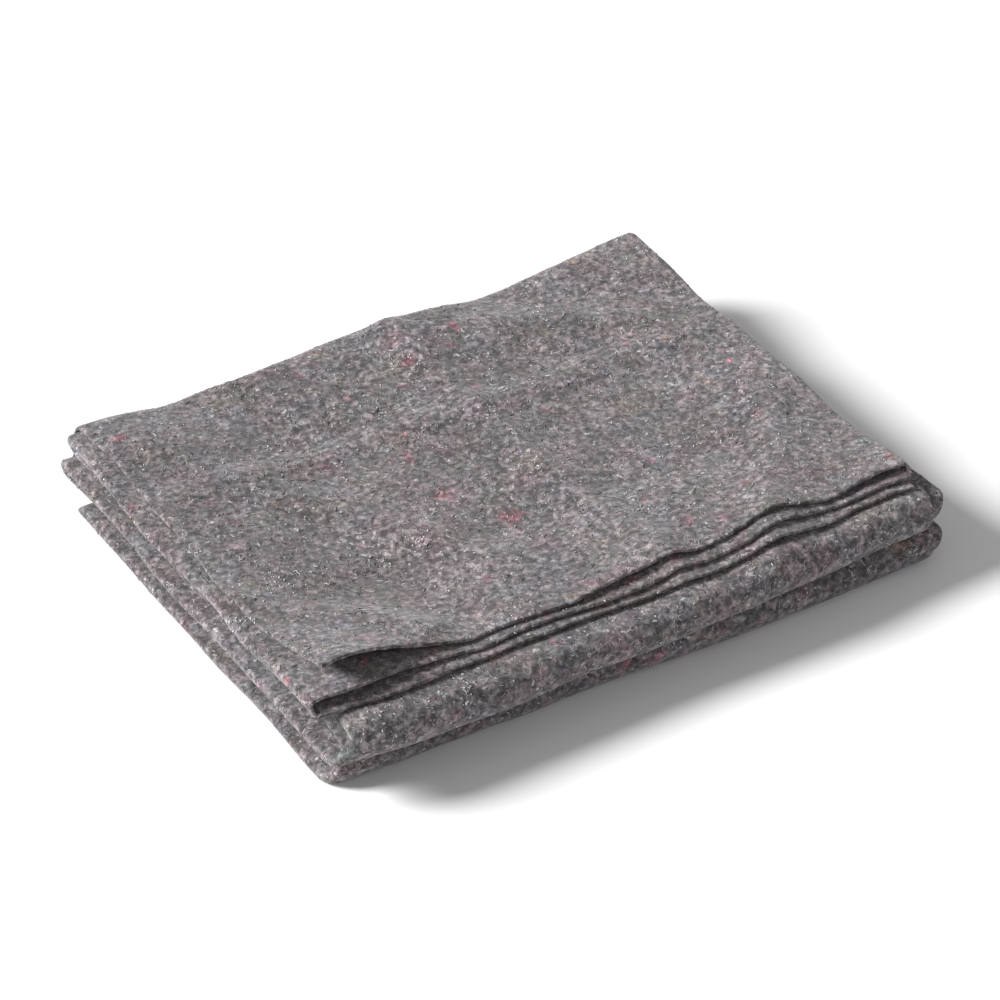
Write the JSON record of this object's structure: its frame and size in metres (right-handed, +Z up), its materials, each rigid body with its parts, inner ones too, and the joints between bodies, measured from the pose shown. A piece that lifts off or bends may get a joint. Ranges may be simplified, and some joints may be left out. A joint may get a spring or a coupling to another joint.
{
  "type": "felt moving blanket",
  "caption": "Grey speckled felt moving blanket with raw cut edges, folded back and forth into a flat pad that lies on a surface, one top corner standing up a little.",
  "frame": {"origin": "middle of the folded pad's underside, on the surface that it lies on", "axes": "+X along the long side of the pad, which is the blanket's width folded in three; +Y from the front, where the loose cut ends lie on top, to the back; +Z up"},
  "size_m": [0.5226, 0.4286, 0.0944],
  "materials": {
    "felt": "matte"
  },
  "bodies": {
    "root": {"felt_blanket": "felt"}
  },
  "joints": []
}
